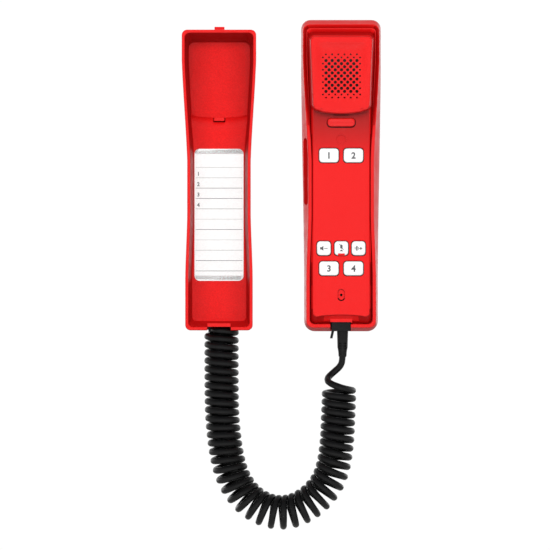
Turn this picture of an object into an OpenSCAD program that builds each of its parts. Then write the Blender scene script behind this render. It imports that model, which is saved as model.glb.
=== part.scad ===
// Slimline wall phone: a cradle for the wall, a handset beside it, and a curly cord between them.
// Millimetres. +Z is up, the front faces -Y, and the wall is the plane y = 0.
// The origin is on the wall, midway between the bracket's two screws.
// "d" in a name or a comment is a depth: the distance in front of the wall, so y = -d.

/* [Cradle] */
// Length of the cradle
cradle_len = 198.6; // [198:0.2:199]
// Depth of the cradle from the wall to its rim
rim_d = 30; // [29.5:0.5:30.5]
// Half width of the cradle's top end
top_half = 24.6; // [24.4:0.1:24.8]
// Half width of the cradle's waist
waist_half = 21; // [20.9:0.1:21.2]
// Half width of the cradle's bottom end
low_half = 22.3; // [22.2:0.1:22.4]
// Depth of the earpiece recess's floor in front of the wall
recess_d = 9; // [8.8:0.1:9.4]
// Depth of the trough's floor in front of the wall
trough_d = 19; // [18.8:0.1:19.2]
// Thickness of the moulded walls
wall = 2; // [1.8:0.1:2]

/* [Handset] */
// Sideways distance from the cradle's middle to the handset's middle
hand_x = 80.7; // [80:0.1:82]
// Half width of the handset's top end
hand_top_half = 26.4; // [26.2:0.1:26.6]
// Half width of the handset's bottom end
hand_low_half = 24.4; // [24.3:0.1:24.5]
// Height of the handset's top end above the origin
hand_top_z = 105.6; // [105:0.2:106]
// Height of the handset's bottom end (below the origin)
hand_low_z = -99.6; // [-100:0.2:-99.4]
// Depth of the handset's back in front of the wall
hand_back_d = 6; // [5.8:0.1:6.2]
// Height that the earpiece boss stands in front of the parting plane
boss_rise = 10.7; // [10:0.1:10.8]
// Half width of the face panel
panel_half = 18.9; // [18.6:0.1:18.9]

/* [Keys] */
// Width of a numbered key
key_w = 13.4; // [13:0.1:13.5]
// Width of a volume key
small_key_w = 9.6; // [9.4:0.1:9.7]
// Height of every key
key_h = 9.8; // [9.6:0.1:9.9]
// Travel of a key
key_travel = 1.2; // [0.8:0.1:1.2]
// Gap all round a key
key_gap = 0.4; // [0.3:0.05:0.4]

/* [Cord] */
// Outside diameter of the curly cord
coil_dia = 23.2; // [22.6:0.1:23.2]
// Diameter of the cord itself
cord_dia = 4.4; // [4.2:0.1:4.6]

/* [Wall mount] */
// Distance between the bracket's two wall screws
screw_spacing = 60; // [58:0.5:62]
// Diameter of the wall screw holes
screw_hole = 4.5; // [4:0.1:5]

/* [Hidden] */
$fn = 40;
eps = 0.01;

cradle_top_z = cradle_len / 2;
cradle_low_z = -cradle_len / 2;
flare_top_z = 79;       // the cradle's width is constant above this height,
waist_top_z = 13;       // tapers down to the waist here,
waist_low_z = -24;      // and starts to widen again here
flare_low_z = -63;      // until this height
recess_low_z = 41.6;    // lower edge of the recess's floor
ramp_low_z = 24;        // foot of the ramp that rises out of the recess
cover_d = 4;            // front face of the cradle's back cover
bracket_t = 1.6;        // thickness of the wall bracket
latch_top = 102.6;      // top of the bracket's latch tab
post_xz = [[15.5, 60], [-15.5, 60], [15.5, -80], [-15.5, -80]];
hook_z = [54, -56];     // top of the stem of each bracket hook
jack_half = 6;          // half width of the cord jacks
notch_half = 7.85;      // half width of the cradle's cord notch
notch_z = -96.85;       // top of that notch, where the cradle's jack has its mouth
well_half = 13.6;       // half width of the well behind the rim that clears the coil's first turn
well_z = -97.6;
well_d = 24.7;
tongue_half = 3.8;
tongue_z = [38.9, 41.6];
tongue_slot_gap = 0.2;
plug_nose_half = 3.85;  // half width of the modular plugs' noses
plug_nose_len = 10;
jack_socket = [4, 6.9]; // half width and height of a jack's socket
collar_half = 7.2;      // moulded collar of the cord's plug in the cradle's notch
ringer_z = 13;
line_jack_z = -75;

parting_gap = 0.3;                  // between the docked handset's lip and the cradle's rim
lip_d = rim_d - parting_gap;        // front of the handset's lip
lip_w = 1.6;                        // width of the lip
ledge_d = 28.7;                     // sunk ledge between the lip and the face panel
flare_d = 22.5;                     // where the flare under the lip starts
lip_low_z = -97.2;
lip_top_z = 102.6;
panel_low_z = -90.4;
panel_flat = [-38, 10];             // heights between which the face is flat
panel_t = 1.8;                      // thickness of the face
boss_top_z = 93.5;
boss_low_z = 44.2;
boss_base_top_z = 96.8;
grille_z = 68.65;
grille_pitch = 4.07;
hand_notch_half = 7.2;
hand_notch_z = -93.7;
plug_z = 26.7;                      // height of the round screw plug
screw_seat_d = 26.3;                // seat of the screw under that plug
mic_z = -75.9;
switch_z = 37.7;
switch_w = 19.3;
switch_h = 5.8;
switch_travel = 2;
board_d = [22, 23.6];
dome_d = board_d[1] + 1;            // top of the membrane's domes
plunger_d = board_d[1] + 1.7;       // top of the micro switch's plunger
board_post_xz = [[12, 33], [-12, 33], [12, -72], [-12, -72]];

row_1_z = 16.2;
row_2_z = -45.1;
row_3_z = -58.4;
key_x = 8.1;
volume_x = 11.45;

coil_left_d = 12.5;
coil_right_d = 22.5;

red = [0.86, 0.06, 0.06];
dark_red = [0.6, 0.03, 0.03];
white = [0.93, 0.93, 0.92];
black = [0.06, 0.06, 0.06];
board_green = [0.1, 0.35, 0.2];
steel = [0.7, 0.7, 0.72];

// --- Functions -----------------------------------------------------------------------------

function clamp01(t) = min(1, max(0, t));
function smooth(t) = let (c = clamp01(t)) c * c * (3 - 2 * c);
// A taper that is nearly straight, with soft ends
function taper(t) = 0.7 * clamp01(t) + 0.3 * smooth(t);

// Half width of the cradle's outline at height z
cradle_half = function (z) z > waist_top_z
    ? waist_half + (top_half - waist_half) * taper((z - waist_top_z) / (flare_top_z - waist_top_z))
    : waist_half + (low_half - waist_half) * taper((waist_low_z - z) / (waist_low_z - flare_low_z));
// Half width of the handset's lip, which meets the cradle's rim
lip_half = function (z) cradle_half(z) + 0.4;
// Half width of the handset's widest outline
hand_half = function (z) hand_low_half + (hand_top_half - hand_low_half) * taper((z + 60) / 130);
// Half width of the earpiece boss's face
boss_half = function (z) 18.7 + 1.8 * clamp01((z - 48) / 45);

// Depth of the cradle's floor at height z: recess, convex ramp, trough
function floor_d(z) = z >= recess_low_z ? recess_d : z <= ramp_low_z ? trough_d
    : recess_d + (trough_d - recess_d)
        * sqrt(1 - pow((z - ramp_low_z) / (recess_low_z - ramp_low_z), 2));
// Depth of the handset's face at height z: it comes forward towards both ends
function face_d(z) = rim_d - 0.8
    + (z > panel_flat[1] ? 2.6 * pow((z - panel_flat[1]) / 33, 2) : 0)
    + (z < panel_flat[0] ? 2.3 * pow((panel_flat[0] - z) / 52.4, 1.3) : 0);

// Closed outline of a part with half width half(z), inset by g; corner radii r0 below, r1 above
function side(half, g, z0, z1, r0, r1, arc = 5, steps = 12) = concat(
    [for (i = [0:arc]) let (a = 90 * i / arc - 90)
        [half(z0 + r0) - g - r0 + r0 * cos(a), z0 + r0 + r0 * sin(a)]],
    [for (i = [1:steps]) let (z = z0 + r0 + (z1 - r1 - z0 - r0) * i / (steps + 1))
        [half(z) - g, z]],
    [for (i = [0:arc]) let (a = 90 * i / arc)
        [half(z1 - r1) - g - r1 + r1 * cos(a), z1 - r1 + r1 * sin(a)]]);
function outline(half, g, z0, z1, r0, r1) = let (s = side(half, g, z0, z1, r0, r1))
    concat(s, [for (i = [len(s) - 1:-1:0]) [-s[i][0], s[i][1]]]);
// Rounded rectangle of w by h
function rounded(w, h, r) = [for (q = [0:3], i = [0:4]) let (a = 90 * q + 22.5 * i)
    [(q == 0 || q == 3 ? 1 : -1) * (w / 2 - r) + r * cos(a), (q < 2 ? 1 : -1) * (h / 2 - r) + r * sin(a)]];

// Points of a smooth curve through p, n to a span
function curve(p, n) = concat(
    [for (i = [0:len(p) - 2], k = [0:n - 1]) let (
        t = k / n, a = p[max(i - 1, 0)], b = p[i], c = p[i + 1], e = p[min(i + 2, len(p) - 1)])
        0.5 * (2 * b + (c - a) * t + (2 * a - 5 * b + 4 * c - e) * t * t
            + (3 * b - a - 3 * c + e) * t * t * t)],
    [p[len(p) - 1]]);

// --- Shared shapes -------------------------------------------------------------------------

// Extrudes a shape drawn as [x, z] from depth d0 to depth d1
module slab(d0, d1) {
    translate([0, -d0, 0]) rotate([90, 0, 0]) linear_extrude(d1 - d0) children();
}

// Extrudes a shape drawn as [y, z] across the width w
module across(w) {
    rotate([90, 0, 90]) linear_extrude(w, center = true) children();
}

// Solid through rings of [x, z] points, one at each depth, from the back to the front
module loft(rings, depths) {
    n = len(rings[0]);
    last = len(rings) - 1;
    points = [for (i = [0:last], p = rings[i]) [p[0], -depths[i], p[1]]];
    sides = [for (i = [0:last - 1], j = [0:n - 1], k = [0, 1]) let (
        b = i * n, f = b + n, m = (j + 1) % n)
        k == 0 ? [f + j, f + m, b + m] : [f + j, b + m, b + j]];
    back = [for (j = [0:n - 1]) j];
    front = [for (j = [n - 1:-1:0]) last * n + j];
    polyhedron(points, concat([back, front], sides));
}

// The same, cut off flat at depths d0 and d1, so each end is one plane
module trimmed_loft(rings, depths, d0, d1) {
    intersection() {
        loft(rings, depths);
        block(100, -200, 200, d0, d1);
    }
}

// Rod along the depth, from d0 to d1, at [x, z]
module rod(r, d0, d1, at = [0, 0]) {
    translate([at[0], -d0, at[1]]) rotate([90, 0, 0]) cylinder(h = d1 - d0, r = r);
}

// Box from depth d0 to d1, centred on x, between heights z0 and z1
module block(half, z0, z1, d0, d1, x = 0) {
    translate([x - half, -d1, z0]) cube([2 * half, d1 - d0, z1 - z0]);
}

// Tube of radius r with n sides that follows the points of path, with flat ends
module tube(path, r, n) {
    last = len(path) - 1;
    points = [for (i = [0:last], k = [0:n - 1]) let (
        t = path[min(i + 1, last)] - path[max(i - 1, 0)],
        flat = i == 0 || i == last ? [0, 0, t[2]] : t,
        u = flat / norm(flat),
        b = cross([0, 1, 0], u) / norm(cross([0, 1, 0], u)),
        v = cross(u, b),
        a = 360 * k / n)
        path[i] + r * (cos(a) * b + sin(a) * v)];
    sides = [for (i = [0:last - 1], k = [0:n - 1], h = [0, 1]) let (
        p = i * n, q = p + n, m = (k + 1) % n)
        h == 0 ? [q + k, q + m, p + m] : [q + k, p + m, p + k]];
    polyhedron(points, concat(
        [[for (k = [0:n - 1]) k], [for (k = [n - 1:-1:0]) last * n + k]], sides));
}

// Places handset parts, which are drawn about the handset's own middle
module on_handset() {
    translate([hand_x, 0, 0]) children();
}

// --- Cradle --------------------------------------------------------------------------------

// Side walls draw in by this much between the rim and the floor: less beside the recess
trough_half = function (z) cradle_half(z) - wall - 2.3 + 1.1 * smooth((z - ramp_low_z) / 20);

module cradle_body() {
    trimmed_loft([
        outline(cradle_half, 1.4, cradle_low_z + 1.4, cradle_top_z - 1.4, 3.6, 3.6),
        outline(cradle_half, 0.5, cradle_low_z + 0.5, cradle_top_z - 0.5, 3.6, 3.6),
        outline(cradle_half, 0, cradle_low_z, cradle_top_z, 3.6, 3.6),
        outline(cradle_half, 1.5, cradle_low_z + 1.5, cradle_top_z - 1.5, 3.2, 3.2)
    ], [1, 5, rim_d - 0.5, rim_d + 1], 2, rim_d);
}

// The open space at the front, down to the curved floor
module cradle_hollow() {
    intersection() {
        loft([
            outline(trough_half, 1, -92, 91.7, 3, 4),
            outline(trough_half, 0, -93, 94.3, 3, 4),
            outline(cradle_half, wall - 0.2, -97.7, 97.6, 3, 3)
        ], [recess_d - 2, trough_d, rim_d + 1]);
        across(80) polygon(concat(
            [[-60, -110], [-60, 110], [-recess_d, 110]],
            [for (i = [0:14]) let (z = recess_low_z - (recess_low_z - ramp_low_z) * pow(i / 14, 1.6))
                [-floor_d(z), z]],
            [[-trough_d, -110]]));
    }
}

// The space for the works between the floor and the back cover
module cradle_cavity() {
    inset = wall + 0.4;
    intersection() {
        slab(1, 40) polygon(outline(cradle_half, inset, cradle_low_z + inset, cradle_top_z - inset, 2.5, 2.5));
        across(80) polygon(concat(
            [[0, 110], [wall - recess_d, 110]],
            [for (i = [0:14]) let (z = recess_low_z - (recess_low_z - ramp_low_z) * pow(i / 14, 1.6))
                [wall - floor_d(z), z - wall]],
            [[wall - trough_d, -110], [0, -110]]));
    }
}

module cradle_shell() {
    color(red) difference() {
        union() {
            difference() {
                cradle_body();
                cradle_hollow();
                cradle_cavity();
            }
            for (p = post_xz) rod(3, cover_d, floor_d(p[1]) - 1, p);
            block(notch_half - 0.2, -97.4, -95, trough_d - 1, rim_d - 0.6);
        }
        for (p = post_xz) rod(1.1, cover_d - 1, floor_d(p[1]) - wall - 0.2, p);
        block(notch_half, cradle_low_z - 1, notch_z, 5, rim_d + 1);
        block(well_half, cradle_low_z - 1, well_z, 5, well_d);
        block(tongue_half + tongue_slot_gap, tongue_z[0] - tongue_slot_gap, tongue_z[1] + tongue_slot_gap,
            recess_d - 4, trough_d);
    }
}

module cradle_back_cover() {
    inset = wall + 0.55;
    color(dark_red) difference() {
        slab(2, cover_d) polygon(outline(cradle_half, inset, cradle_low_z + inset, cradle_top_z - inset, 2.3, 2.3));
        for (p = post_xz) {
            rod(1.6, 1, cover_d + 1, p);
            rod(2.9, 1, 3.1, p);
        }
        for (z = hook_z) block(4.4, z - 6, z + 0.1, 1, cover_d + 1);
        block(7.4, line_jack_z - 6.9, line_jack_z + 6.9, 1, cover_d + 1);
        for (i = [0:5]) rod(0.8, 1, cover_d + 1, [5 * cos(60 * i), ringer_z + 5 * sin(60 * i)]);
    }
}

// Wall bracket: plate, two upturned hooks and the latch tab that shows above the cradle
module wall_bracket() {
    color(red) difference() {
        union() {
            slab(0, bracket_t) translate([0, 17.5]) polygon(rounded(30, 155, 4));
            for (z = hook_z) {
                block(4, z - 2, z, bracket_t - 0.1, 5.8);
                block(4, z - 2, z + 3, 4.3, 5.8);
            }
            across(6.6) polygon([[0, 94], [-bracket_t, 94], [-bracket_t, 99.7], [-6.5, 99.7],
                [-6.5, latch_top], [0, latch_top]]);
        }
        for (s = [-1, 1]) rod(screw_hole / 2, -1, bracket_t + 1, [0, s * screw_spacing / 2]);
    }
}

module back_cover_screws() {
    color(steel) for (p = post_xz) {
        rod(2.5, 1.8, 3.1, p);
        rod(1.05, 3.1, floor_d(p[1]) - wall - 0.7, p);
    }
}

module speed_dial_card() {
    color(white) slab(trough_d, trough_d + 0.3) translate([-0.1, -22.8]) polygon(rounded(32.4, 87.4, 3.4));
}

module card_cover() {
    color([0.9, 0.95, 1, 0.35]) slab(trough_d + 0.3, trough_d + 0.9) translate([-0.1, -22.8])
        polygon(rounded(32.8, 87.8, 3.6));
}

// Tongue that catches the handset, with a flange behind the floor
module handset_hook() {
    color(red) {
        block(tongue_half, tongue_z[0], tongue_z[1], 6.4, 17.5);
        block(tongue_half + 1.8, tongue_z[0] - 1.7, tongue_z[1] + 1.2, 4.8, 6.4);
    }
}

module cradle_board() {
    color(board_green) slab(15.2, 16.8) translate([0, -49.5]) polygon(rounded(22, 93, 1));
}

module ringer() {
    color(black) translate([0, -4.1, ringer_z]) rotate([90, 0, 0]) rotate_extrude()
        polygon([[3, 0], [10.5, 0], [10.5, 5.5], [8, 7], [0, 7], [0, 1.2], [3, 1.2]]);
}

// Jack for the line cord, with its socket open at the back of the cradle
module line_jack() {
    color(black) difference() {
        block(7, line_jack_z - 6.5, line_jack_z + 6.5, 2.2, 15.2);
        block(5.9, line_jack_z - 4.2, line_jack_z + 4.2, 1, 13);
    }
}

// Jack for a small modular plug, from depth d0 to d1: z0 is its mouth, d the socket's middle depth
module cord_jack(half, z0, height, d0, d1, d) {
    difference() {
        block(half, z0, z0 + height, d0, d1);
        block(jack_socket[0], z0 - 1, z0 + plug_nose_len + 0.2, d - jack_socket[1] / 2, d + jack_socket[1] / 2);
    }
}

module cradle_jack() {
    color(black) cord_jack(jack_half, notch_z + 0.05, 12.3, 4.2, 15.2, 9.7);
}

module cradle_plug() {
    color(black) {
        block(plug_nose_half, notch_z - 0.4, notch_z - 0.4 + plug_nose_len, 6.4, 13);
        block(collar_half, coil_route[0][2], notch_z - 0.4, 6.4, 15.2);
    }
}

// --- Handset -------------------------------------------------------------------------------

function hand_ring(g, r) = outline(hand_half, g, hand_low_z + g, hand_top_z - g, r, r);
function lip_ring(g, r) = outline(lip_half, g, lip_low_z + g, lip_top_z - g, r, r);

module handset_back_shell() {
    color(red) on_handset() difference() {
        union() {
            difference() {
                trimmed_loft([hand_ring(10, 6), hand_ring(5.5, 6), hand_ring(2.2, 5.6),
                        hand_ring(0.5, 5.3), hand_ring(0, 5.3), hand_ring(0, 5.3),
                        lip_ring(-0.5, 4.5), lip_ring(1, 4)],
                    [hand_back_d, 6.6, 8.8, 12.5, 16, flare_d, lip_d - 0.5, lip_d + 1],
                    0, lip_d);
                loft([hand_ring(11, 5), hand_ring(5, 5), hand_ring(2.6, 4), hand_ring(2.4, 3.5),
                        lip_ring(2.8, 2), lip_ring(2.8, 2)],
                    [8.2, 10.2, 14, flare_d - 1, ledge_d - 2, 40]);
                slab(ledge_d - 2, 40) polygon(lip_ring(lip_w, 2.6));
            }
            rod(3.5, 7, 24.5, [0, plug_z]);
            for (p = board_post_xz) rod(2.5, 7, board_d[0], p);
        }
        rod(1.4, 12, 30, [0, plug_z]);
        for (p = board_post_xz) rod(0.9, 16, 30, p);
        block(hand_notch_half, -101, hand_notch_z, 16.5, 40);
        grip_pocket(1, 3);
    }
}

// Flat prism set into the left flank: from depth a under the surface to height b above it
module grip_pocket(a, b, gap = 0) {
    translate([-23.3, -25.9, 5.6]) rotate([0, 0, 30.8]) rotate([90, 0, -90]) translate([0, 0, -a])
        linear_extrude(a + b) polygon(rounded(5.6 - gap, 44.2 - gap, 2.4));
}

module grip_inlay() {
    color(dark_red) on_handset() grip_pocket(1 - eps, -0.2, 0.3);
}

// Solid between the ledge and a copy of the face's curve, sunk by t
module face_block(half, z0, z1, t, r) {
    intersection() {
        across(60) polygon(concat(
            [[-20, z1 + 1], [-20, z0 - 1]],
            [for (i = [0:24]) let (z = z0 - 1 + (z1 - z0 + 2) * i / 24) [t - face_d(z), z]]));
        slab(ledge_d - 2, 40) translate([0, (z0 + z1) / 2]) polygon(rounded(2 * half, z1 - z0, r));
    }
}

// Earpiece boss, drawn in by g all round
module boss_block(g, d0) {
    front_d = rim_d + boss_rise - g;
    trimmed_loft([
        outline(boss_half, g - 1, boss_low_z - 1 + g, boss_base_top_z - g, 6, 3.6),
        outline(boss_half, g, boss_low_z + g, boss_top_z + 0.2 - g, 6, 3.2),
        outline(boss_half, g + 1.4, boss_low_z + 1.4 + g, boss_top_z - 1.2 - g, 5.4, 2.6)
    ], [d0, front_d - 0.8, front_d + 0.8], 0, front_d);
}

module grille_holes(r) {
    for (row = [-5:5]) let (z = grille_z + row * grille_pitch / 2, half = row % 2 == 0 ? 2 : 2.5)
        for (i = [-half:half]) translate([i * grille_pitch, z]) circle(r = r, $fn = 16);
}

module handset_front_cover() {
    color(red) on_handset() difference() {
        union() {
            difference() {
                union() {
                    slab(ledge_d - 2, ledge_d) polygon(lip_ring(lip_w + 0.15, 2.4));
                    face_block(panel_half, panel_low_z, 46, 0, 3);
                    boss_block(0, ledge_d - 1);
                    block(hand_notch_half, hand_notch_z, -91.7, ledge_d - 1, lip_d);
                }
                face_block(panel_half - 1.8, panel_low_z + 1.8, 45.9, panel_t, 2);
                boss_block(1.8, ledge_d - 3);
            }
            rod(4, screw_seat_d - 1.5, face_d(plug_z) - 1, [0, plug_z]);
        }
        slab(rim_d + 5, rim_d + 15) grille_holes(0.8);
        for (k = key_places()) slab(20, 40) translate([k[0], k[1]])
            polygon(rounded(k[2] + 2 * key_gap, key_h + 2 * key_gap, 2.2));
        slab(20, 35) translate([0, switch_z]) polygon(rounded(switch_w + 0.9, switch_h + 0.9, 1.6));
        block(4.95, 42.3, 43.9, 30, 33.2);
        rod(3.15, screw_seat_d, 40, [0, plug_z]);
        rod(1.7, 20, 40, [0, plug_z]);
        rod(0.9, 20, 40, [0, mic_z]);
        slab(face_d(mic_z) - 0.7, 40) translate([0, mic_z]) polygon(rounded(4.5, 7.4, 2.2));
        block(hand_notch_half + 0.1, -101, hand_notch_z, 16.5, 40);
    }
}

module earpiece_mesh() {
    color(black) on_handset() slab(rim_d + boss_rise - 2.2, rim_d + boss_rise - 1.85)
        translate([0, grille_z]) polygon(rounded(28, 30, 5));
}

module earpiece_speaker() {
    color(black) on_handset() translate([0, -28.5, grille_z]) rotate([90, 0, 0]) rotate_extrude()
        polygon([[0, 0], [9, 0], [9, 3], [13, 5], [15, 5], [15, 9.8], [0, 9.8]]);
}

module microphone() {
    color(steel) on_handset() rod(3, 26.2, 28.4, [0, mic_z]);
}

module microphone_boot() {
    color(black) on_handset() difference() {
        rod(4.4, 25.6, 28.5, [0, mic_z]);
        rod(3.02, 26.2, 30, [0, mic_z]);
    }
}

module handset_board() {
    color(board_green) on_handset() difference() {
        slab(board_d[0], board_d[1]) translate([0, -17.5]) polygon(rounded(32, 121, 2));
        rod(4, 20, 25, [0, plug_z]);
        for (p = board_post_xz) rod(1.2, 20, 25, p);
    }
}

module board_screws() {
    color(steel) on_handset() for (p = board_post_xz) {
        rod(1.9, board_d[1], board_d[1] + 1.3, p);
        rod(0.85, 17, board_d[1], p);
    }
}

// Rubber sheet with a dome under each key
module keypad_membrane() {
    color([0.8, 0.8, 0.8]) on_handset() {
        slab(board_d[1], board_d[1] + 0.5) translate([0, -20.5]) polygon(rounded(33, 87, 2));
        for (k = key_places()) rod(3, board_d[1] + 0.4, dome_d, [k[0], k[1]]);
    }
}

module hook_microswitch() {
    color(black) on_handset() {
        block(3, switch_z - 2.5, switch_z + 2.5, board_d[1], board_d[1] + 1.2);
        rod(1.2, board_d[1] + 1.1, plunger_d, [0, switch_z]);
    }
}

module ballast_weight() {
    color(steel) on_handset() slab(8.2, 15) translate([0, -32]) polygon(rounded(16, 60, 2));
}

module cover_screw() {
    color(steel) on_handset() {
        rod(2.7, screw_seat_d, screw_seat_d + 1.7, [0, plug_z]);
        rod(1.35, 13, screw_seat_d, [0, plug_z]);
    }
}

module screw_plug() {
    color(red) on_handset() rod(3.05, screw_seat_d + 2, face_d(plug_z) - 0.1, [0, plug_z]);
}

module handset_jack() {
    color(black) on_handset() cord_jack(7, hand_notch_z, 12.5, 16.8, 26.6, 22);
}

// Modular plug with its moulded block and the latch lever beside the boot
module cord_plug() {
    color(black) on_handset() {
        block(plug_nose_half, hand_notch_z, hand_notch_z + plug_nose_len, 18.7, 25.3);
        block(6.3, -99.6, hand_notch_z, 18.3, 27.6);
        translate([0, -26, 0]) rotate([90, 0, 0]) linear_extrude(1.4)
            polygon([[-4.4, -99], [-6.2, -99], [-7.4, -104.6], [-5.7, -104.6]]);
    }
}

module cord_boot() {
    color(black) on_handset() translate([1, -coil_right_d, -116.8]) difference() {
        cylinder(h = 17.2, r1 = 2.9, r2 = 4.05);
        for (z = [1.4, 3.6, 5.8, 8]) translate([0, 0, z]) difference() {
            cylinder(h = 0.9, r = 6);
            cylinder(h = 0.9, r = 2.75);
        }
    }
}

// --- Keys ----------------------------------------------------------------------------------

function key_places() = [
    [-key_x, row_1_z, key_w], [key_x, row_1_z, key_w],
    [-key_x, row_3_z, key_w], [key_x, row_3_z, key_w],
    [-volume_x, row_2_z, small_key_w], [0.1, row_2_z, small_key_w], [volume_x, row_2_z, small_key_w]];

// Key cap through the cover, with a flange behind it and a stem towards its dome
module key(i) {
    k = key_places()[i];
    front = face_d(k[1]) + 1;
    color(white) on_handset() translate([k[0], 0, k[1]]) {
        slab(27, front) polygon(rounded(k[2], key_h, 2));
        slab(26.3, 27.1) polygon(rounded(k[2] + 1.4, key_h + 1.4, 2));
        rod(2, dome_d + key_travel + 0.25, 26.5);
    }
}

module key_1() key(0);
module key_2() key(1);
module key_3() key(2);
module key_4() key(3);
module key_volume_down() key(4);
module key_mute() key(5);
module key_volume_up() key(6);

module hook_switch() {
    color(red) on_handset() translate([0, 0, switch_z]) {
        slab(28, face_d(switch_z) + 1.4) polygon(rounded(switch_w, switch_h, 1.3));
        slab(27.7, 28.5) polygon(rounded(switch_w + 2, switch_h + 1.8, 1.3));
        rod(1.5, plunger_d + switch_travel + 0.1, 28);
    }
}

// --- Cord ----------------------------------------------------------------------------------

// Middle line of the hanging coil, [x, y, z], from the cradle round to the handset
coil_route = [
    [1.5, -coil_left_d, -100.6], [1.5, -coil_left_d, -116], [1.5, -coil_left_d, -134],
    [1.8, -13, -152], [2.8, -13, -166], [4.8, -13.5, -181], [7.8, -14, -193], [12.5, -14.5, -203],
    [20, -15.5, -212], [30, -17, -218], [40, -18.5, -220], [50, -19.5, -218.5],
    [59.5, -20.5, -213.5], [67, -21.5, -206.5], [72.5, -22, -198], [76, -22.5, -187],
    [78, -coil_right_d, -172], [78.7, -coil_right_d, -158], [79.2, -coil_right_d, -147],
    [79.4, -coil_right_d, -139]];
// The lead from the boot down to the coil's first turn
lead_route = [
    [81.7, -coil_right_d, -116.8], [81.6, -coil_right_d, -120.4], [80.2, -22.5, -123.8],
    [77, -22.5, -127.4], [74, -23, -131], [72.6, -23.5, -134.4]];

module cord_coil() {
    color(black) tube(curve(coil_route, 3), coil_dia / 2, 12);
}

module cord_lead() {
    color(black) tube(curve(lead_route, 3), cord_dia / 2, 8);
}

cradle_shell();
cradle_back_cover();
wall_bracket();
back_cover_screws();
speed_dial_card();
card_cover();
handset_hook();
cradle_board();
ringer();
line_jack();
cradle_jack();
cradle_plug();
cord_coil();
handset_back_shell();
handset_front_cover();
grip_inlay();
earpiece_mesh();
earpiece_speaker();
microphone();
microphone_boot();
handset_board();
board_screws();
keypad_membrane();
hook_microswitch();
ballast_weight();
cover_screw();
screw_plug();
handset_jack();
cord_plug();
cord_boot();
cord_lead();
key_1();
key_2();
key_3();
key_4();
key_volume_down();
key_mute();
key_volume_up();
hook_switch();
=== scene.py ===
"""Slimline wall phone: a cradle on the wall, its handset beside it, and a curly cord between them.

The outlines repeat the formulas of part.scad. Shapes are worked out in millimetres as (x, d, z),
where d is the depth in front of the wall, and become metres in Blender's (x, y, z) with y = -d.
"""

import math

import bmesh
import bpy
from mathutils import Matrix, Vector


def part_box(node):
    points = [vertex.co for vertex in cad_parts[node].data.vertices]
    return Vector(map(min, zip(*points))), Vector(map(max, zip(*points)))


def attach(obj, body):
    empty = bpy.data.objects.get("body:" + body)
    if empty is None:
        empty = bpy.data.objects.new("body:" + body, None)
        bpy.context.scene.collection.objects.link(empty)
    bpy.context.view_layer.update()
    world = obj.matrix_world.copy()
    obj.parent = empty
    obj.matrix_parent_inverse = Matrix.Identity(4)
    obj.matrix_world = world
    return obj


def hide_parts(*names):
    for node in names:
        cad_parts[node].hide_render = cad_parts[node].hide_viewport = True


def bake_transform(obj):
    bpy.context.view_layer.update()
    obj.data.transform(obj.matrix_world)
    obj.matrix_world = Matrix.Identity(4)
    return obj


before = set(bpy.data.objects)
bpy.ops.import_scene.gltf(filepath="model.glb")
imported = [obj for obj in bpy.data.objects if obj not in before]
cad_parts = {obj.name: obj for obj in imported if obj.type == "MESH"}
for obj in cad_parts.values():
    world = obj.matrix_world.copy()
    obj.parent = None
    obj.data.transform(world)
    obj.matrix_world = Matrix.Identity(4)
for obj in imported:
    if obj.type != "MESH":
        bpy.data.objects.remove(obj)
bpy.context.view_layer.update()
MM = 0.001
scene = bpy.context.scene


# --- Camera and light ---

# Brightness of the dome by height: 0 is straight down, 0.5 the horizon and 1 straight up.
DOME = ((0.0, 0.05), (0.32, 0.10), (0.46, 0.66), (0.57, 0.7), (0.70, 0.25), (1.0, 0.2))
FRONT_DOME, BACK_DOME = 0.95, 2.4
MIDDLE = (0.04, -0.02, -0.04)   # what the lights point at
RANGE_SOCKETS = ("From Min", "From Max", "To Min", "To Max")


def vec(p):
    """A point (x, d, z) in millimetres as a Vector in metres."""
    return Vector((p[0] * MM, -p[1] * MM, p[2] * MM))


def aim(obj, at):
    obj.rotation_euler = (Vector(at) - obj.location).to_track_quat("-Z", "Y").to_euler()


def make_camera():
    """Straight in front; view_width is what it sees at the cradle's rim."""
    data = bpy.data.cameras.new("camera")
    data.sensor_width = 36
    data.lens = 250
    data.clip_start, data.clip_end = 0.05, 30
    cam = bpy.data.objects.new("camera", data)
    view_width, rim_y = 0.363, -0.030
    cam.location = (0.0370, rim_y - view_width * data.lens / data.sensor_width, -0.0627)
    scene.collection.objects.link(cam)
    aim(cam, (cam.location.x, 0, cam.location.z))
    scene.camera = cam


def area_light(name, location, size, power):
    """Soft light that neither the camera nor a reflection sees."""
    data = bpy.data.lights.new(name, "AREA")
    data.shape = "RECTANGLE"
    data.size, data.size_y = size
    data.energy = power
    obj = bpy.data.objects.new(name, data)
    obj.location = location
    scene.collection.objects.link(obj)
    aim(obj, MIDDLE)
    obj.visible_camera = False
    obj.visible_glossy = False


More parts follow.
